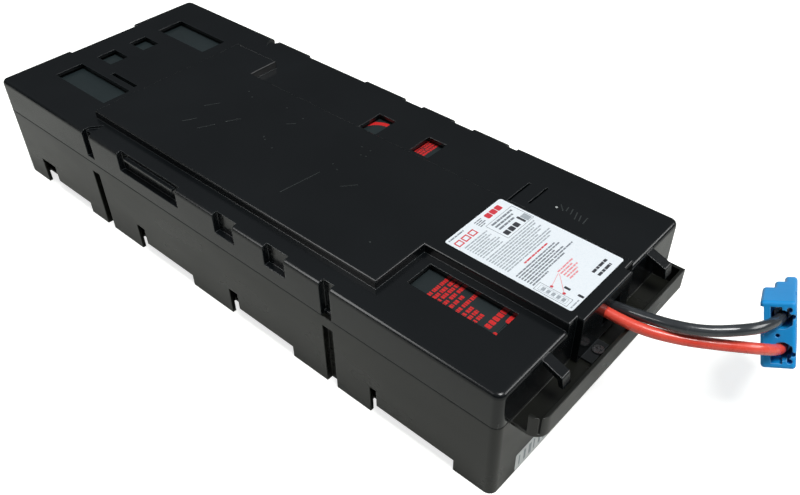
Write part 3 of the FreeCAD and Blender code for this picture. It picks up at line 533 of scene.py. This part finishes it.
def make_label():
    """The pale label: fields, bars for lines of text and plain blocks, no lettering."""
    label = Label("top_label")
    # heading: a tiny line, then outlined rectangles and red blocks
    label.words(DARK, 1.6, 14.6, 1.5, 0.9, 0)
    for number in range(3):
        label.frame(RED, 2.0 + 6.0*number, 6.9 + 6.0*number, 4.9, 9.4, 0.8)
        label.mark(RED, 32.4 + 4.7*number, 36.6 + 4.7*number, 2.4, 6.6, 0.8)
    label.lines(DARK, 23.6, 30.6, 2.4, 4, 1.5, 0.7, (0.0, 1.8, 0.6, 2.6))
    # a framed box with a bold word of blocks and a grey field
    label.frame(DARK, 25.6, 50.6, 9.2, 25.0, 0.25)
    label.lines(DARK, 28.6, 47.6, 10.8, 3, 2.6, 1.3, (0.0, 2.6, 5.0))
    for number in range(3):
        label.mark(BLACK, 27.4 + 4.5*number, 31.2 + 4.5*number, 19.6, 23.4, 0.6)
    label.mark(BLACK, 43.2, 45.0, 17.6, 23.8, 0.5)
    label.mark(GREY, 45.6, 49.8, 18.6, 24.2, 0.4)
    # body text
    label.lines(GREY, 3.2, 23.2, 11.6, 8, 1.75, 0.85, (0.0, 2.4, 0.8, 4.6, 1.2))
    label.lines(GREY, 3.0, 48.0, 26.4, 9, 1.75, 0.85, (0.0, 1.4, 5.2, 0.6, 3.8, 9.0))
    label.words(RED, 14.4, 36.0, 43.2, 1.0, 2)
    label.lines(DARK, 3.0, 41.4, 46.0, 7, 1.75, 0.9, (1.6, 0.4, 7.5, 1.0, 14.0, 5.0, 24.0))
    label.words(DARK, 28.2, 46.2, 53.0, 0.9, 4)
    # the lower third: a plain frame, two red dots with pink leaders, and bars
    label.frame(DARK, 1.2, 7.6, 58.4, 78.8, 0.25)
    label.frame(GREY, 2.4, 6.4, 60.0, 77.2, 0.2)
    for number in range(5):
        label.mark(GREY, 3.1, 5.7, 61.6 + 3.1*number, 63.6 + 3.1*number, 0.3)
    label.stroke(PINK, (9.9, 64.5, 19.6, 61.8), 0.3)
    label.stroke(PINK, (9.5, 71.8, 19.6, 62.5), 0.3)
    label.mark(RED, 7.9, 9.7, 63.9, 65.7, 0.9)
    label.mark(RED, 7.7, 9.5, 71.7, 73.5, 0.9)
    label.lines(PINK, 20.2, 34.4, 60.6, 5, 1.9, 0.95, (0.0, 2.6, 1.0, 4.0, 6.4))
    label.mark(BLACK, 12.0, 13.7, 70.0, 73.6, 0.2)
    label.mark(BLACK, 11.6, 13.3, 78.6, 82.0, 0.2)
    label.lines(BLACK, 32.0, 45.8, 74.4, 2, 3.6, 1.7, (0.0, 1.4))
    label.words(GREY, 1.8, 9.4, 80.6, 0.8, 5)
    piece = new_piece("label_face", to_mesh("label_face", label.built), "label")
    for look in LABEL_INKS:
        piece.data.materials.append(LOOKS[look])
    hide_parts("top_label")


# The sticker, in millimetres: its thickness and rounding, where its ink starts and ends
# above the wall, and its stripes: how many, the first left edge, the pitch, the distance
# from the paper's edges, and the widths, which take turns.
STICKER_THICK, STICKER_CORNER = 0.16, 1.2
STICKER_INK = (0.14, 0.2)
STRIPE_COUNT, STRIPE_LEFT, STRIPE_PITCH, STRIPE_MARGIN = 9, 3.0, 4.6, 2.6
STRIPE_WIDTHS = (1.1, 1.8, 2.5)


def make_sticker():
    """The pale sticker on the front wall, with grey stripes."""
    low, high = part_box("front_sticker")
    width, height = (high.x - low.x)/MM, (high.z - low.z)/MM
    built = bmesh.new()
    bar(built, (0, 0, 0), (width, height, STICKER_THICK), STICKER_CORNER)
    foot, top = STICKER_INK
    for number in range(STRIPE_COUNT):
        left = STRIPE_LEFT + STRIPE_PITCH*number
        right = left + STRIPE_WIDTHS[number % 3]
        bar(built, (left, STRIPE_MARGIN, foot), (right, height - STRIPE_MARGIN, top), 0.0, 1)
    for vert in built.verts:
        across, up, out = vert.co
        vert.co = (low.x + across, high.y - out, low.z + up)
    piece = new_piece("sticker_face", to_mesh("sticker_face", built), "sticker")
    piece.data.materials.append(LOOKS["label_grey"])
    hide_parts("front_sticker")


# ---------------------------------------------------------------- moulded marks

# Strokes of the deck, and strokes and pips of the raised middle, seen from above, in
# millimetres.
DECK_STROKES = [
    (50.2, -163.5, 54.6, -159.3), (50.9, -165.2, 55.0, -164.4), (50.0, -168.8, 55.1, -167.4),
    (47.5, -173.1, 54.3, -170.9), (47.7, -175.9, 53.2, -174.2), (47.1, -178.9, 53.6, -178.3),
]
PLATEAU_STROKES = [
    (-40.6, 78.8, -31.7, 74.1), (-39.5, 64.3, -28.9, 58.6), (-22.4, 56.2, -13.0, 50.9),
    (-18.7, 83.1, -9.3, 77.3), (2.1, 22.9, 6.8, 18.2), (-23.8, -52.9, -15.6, -60.0),
    (-51.2, -29.5, -21.3, -33.1),
]
PLATEAU_PIPS = [(14.0, 73.9), (10.3, 66.5), (-17.5, 22.7), (-19.3, 19.7), (-22.9, 8.9),
                (-10.1, -33.2), (-12.7, -39.3), (15.3, -34.1), (9.3, -43.2), (15.5, -41.3),
                (16.3, 37.2), (14.1, 19.1), (8.3, -39.8), (-49.7, -101.6)]
# The one pip drawn near-white, as a painted glint.
GLINT_PIP = (50.3, -159.0)

# Their widths or radii and their heights, and how far they go down into the cover.
STROKE_WIDTH, STROKE_RELIEF = 0.64, 0.08
PIP_RADIUS, PIP_RELIEF = 0.6, 0.1
GLINT_RADIUS, GLINT_RELIEF = 0.8, 0.25
MARK_ROOT = 0.05


def pip(built, place, level, radius, relief):
    """A small round pip."""
    x, y = place
    bar(built, (x - radius, y - radius, level - MARK_ROOT),
        (x + radius, y + radius, level + relief), radius)


def make_moulded_marks():
    """Faint raised strokes and pips on the deck and the raised middle of the cover, drawn
    lighter than the cover as a painted highlight, and one near-white pip as a painted glint.
    """
    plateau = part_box("top_label")[0].z/MM
    built = bmesh.new()
    for level, strokes in ((DECK_LEVEL, DECK_STROKES), (plateau, PLATEAU_STROKES)):
        for ends in strokes:
            block(built, slanted(*ends, STROKE_WIDTH), level - MARK_ROOT,
                  level + STROKE_RELIEF)
    for place in PLATEAU_PIPS:
        pip(built, place, plateau, PIP_RADIUS, PIP_RELIEF)
    # Drawn lighter than the cover: painted highlight.
    new_piece("moulded_marks_painted_highlight", to_mesh("moulded_marks_painted_highlight", built), "marks")
    # The near-white pip: a painted glint.
    built = bmesh.new()
    pip(built, GLINT_PIP, DECK_LEVEL, GLINT_RADIUS, GLINT_RELIEF)
    new_piece("painted_glint_pip", to_mesh("painted_glint_pip", built), "glint")


# ---------------------------------------------------------------- leads

# The free stretch of each lead, from the cable guide to its contact, in millimetres.
RED_ROUTE = [(2.7, -223.8, 71.0), (3.6, -239.3, 69.6), (12.0, -260.1, 68.4),
             (22.2, -277.4, 68.4), (34.4, -292.2, 66.0), (52.48, -301.35, 55.73),
             (61.84, -299.02, 51.58)]
BLACK_ROUTE = [(10.9, -223.8, 69.2), (10.9, -239.2, 72.0), (12.5, -258.2, 75.9),
               (18.7, -271.4, 76.8), (27.7, -283.1, 78.5), (39.4, -290.8, 76.5),
               (57.69, -294.72, 71.18), (67.04, -292.39, 67.03)]
LEAD_DIAMETER = 6.2


def make_lead(name, route, look):
    """One free lead along its route, as a smooth round curve whose points carry its radius."""
    data = bpy.data.curves.new(name, "CURVE")
    data.dimensions = "3D"
    data.bevel_depth = 1.0
    data.bevel_resolution = 6
    data.use_fill_caps = True
    spline = data.splines.new("NURBS")
    spline.points.add(len(route) - 1)
    for point, place in zip(spline.points, route):
        point.co = (*(Vector(place)*MM), 1.0)
        point.radius = LEAD_DIAMETER/2*MM
    spline.order_u = 3
    spline.use_endpoint_u = True
    spline.resolution_u = 16
    lead = new_piece(name, data, look)
    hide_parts(name.replace("_curve", ""))
    spline_length(lead)


def spline_length(lead):
    """The length of a curve's own centreline."""
    depth = lead.data.bevel_depth
    lead.data.bevel_depth = 0.0
    bpy.context.view_layer.update()
    line = bpy.data.meshes.new_from_object(lead)
    lead.data.bevel_depth = depth
    return sum((line.vertices[edge_highlight.vertices[0]].co - line.vertices[edge_highlight.vertices[1]].co).length
               for edge_highlight in line.edges)


# ---------------------------------------------------------------- studio

# The floor, in metres: how far it reaches, its colour, and how brightly it shows.
FLOOR_REACH = 6.0
FLOOR_COLOUR = (0.62, 0.63, 0.59, 1)
FLOOR_GLOW = 0.75

# The surroundings, dark up to one height and brightest above another.
SKY_LOW, SKY_HIGH = (0.04, 0.043, 0.046), (0.29, 0.305, 0.32)
SKY_START, SKY_END = 0.34, 0.8

# What the strips of light point at.
STRIP_TARGET = Vector((0, 0, 0.05))


def make_floor():
    """A pale floor that takes shadows, and glows only where it is seen directly."""
    mesh = bpy.data.meshes.new("floor")
    corners = ((-1, -1), (1, -1), (1, 1), (-1, 1))
    mesh.from_pydata([(FLOOR_REACH*x, FLOOR_REACH*y, 0) for x, y in corners], [],
                     [(0, 1, 2, 3)])
    floor = bpy.data.objects.new("floor", mesh)
    bpy.context.collection.objects.link(floor)
    kit = Nodes(bpy.data.materials.new("floor_white"))
    kit.shader.inputs["Base Color"].default_value = FLOOR_COLOUR
    kit.shader.inputs["Roughness"].default_value = 0.9
    rays = kit.add("ShaderNodeLightPath")
    glow = kit.add("ShaderNodeEmission", Strength=FLOOR_GLOW, Color=(*WHITE, 1))
    none = kit.add("ShaderNodeEmission", Strength=0.0)
    pick = kit.add("ShaderNodeMixShader")
    kit.link(rays, "Is Camera Ray", pick, "Fac")
    kit.link(none, "Emission", pick, 1)
    kit.link(glow, "Emission", pick, 2)
    both = kit.add("ShaderNodeAddShader")
    kit.link(kit.shader, "BSDF", both, 0)
    kit.link(pick, "Shader", both, 1)
    kit.link(both, "Shader", kit.tree.nodes["Material Output"], "Surface")
    floor.data.materials.append(kit.owner)


def make_sky():
    """Surroundings that grow brighter upwards, and are white where they are seen directly."""
    world = bpy.data.worlds.new("studio")
    bpy.context.scene.world = world
    kit = Nodes(world)
    place = kit.add("ShaderNodeTexCoord")
    height = kit.add("ShaderNodeSeparateXYZ")
    kit.link(place, "Generated", height, "Vector")
    sky = kit.colours(height, "Z", SKY_LOW, SKY_HIGH, SKY_START, SKY_END)
    rays = kit.add("ShaderNodeLightPath")
    seen, output = kit.blend(rays, "Is Camera Ray", sky, "Color", WHITE)
    kit.link(seen, output, kit.tree.nodes["Background"], "Color")


def hang(data, towards):
    """A lamp that shines in a direction."""
    lamp = bpy.data.objects.new(data.name, data)
    lamp.rotation_euler = Vector(towards).to_track_quat("-Z", "Y").to_euler()
    bpy.context.collection.objects.link(lamp)
    return lamp


def make_sun(name, strength, towards, spread):
    """A distant light, with the width of its disc in degrees."""
    data = bpy.data.lights.new(name, "SUN")
    data.energy = strength
    data.angle = math.radians(spread)
    hang(data, towards)


def make_strip(name, energy, place, width, height):
    """A soft strip of light that shows only as a gleam on glossy edges."""
    data = bpy.data.lights.new(name, "AREA")
    data.shape = "RECTANGLE"
    data.size = width
    data.size_y = height
    data.energy = energy
    lamp = hang(data, STRIP_TARGET - Vector(place))
    lamp.location = place
    lamp.visible_diffuse = False


# ---------------------------------------------------------------- scene

bpy.context.scene.view_settings.view_transform = "Standard"
make_camera()
make_lead("red_lead_curve", RED_ROUTE, "red_lead")
make_lead("black_lead_curve", BLACK_ROUTE, "black_lead")
dress_nodes()
make_battery_print()
make_label()
make_sticker()
make_moulded_marks()
make_floor()
make_sky()
make_sun("key", 2.8, (0.0, 0.3, -1.0), 25.0)
make_strip("left_strip", 12.0, (-1.3, 0.9, 1.1), 0.5, 1.2)
make_strip("front_strip", 13.0, (1.0, -1.3, 1.0), 1.2, 0.5)
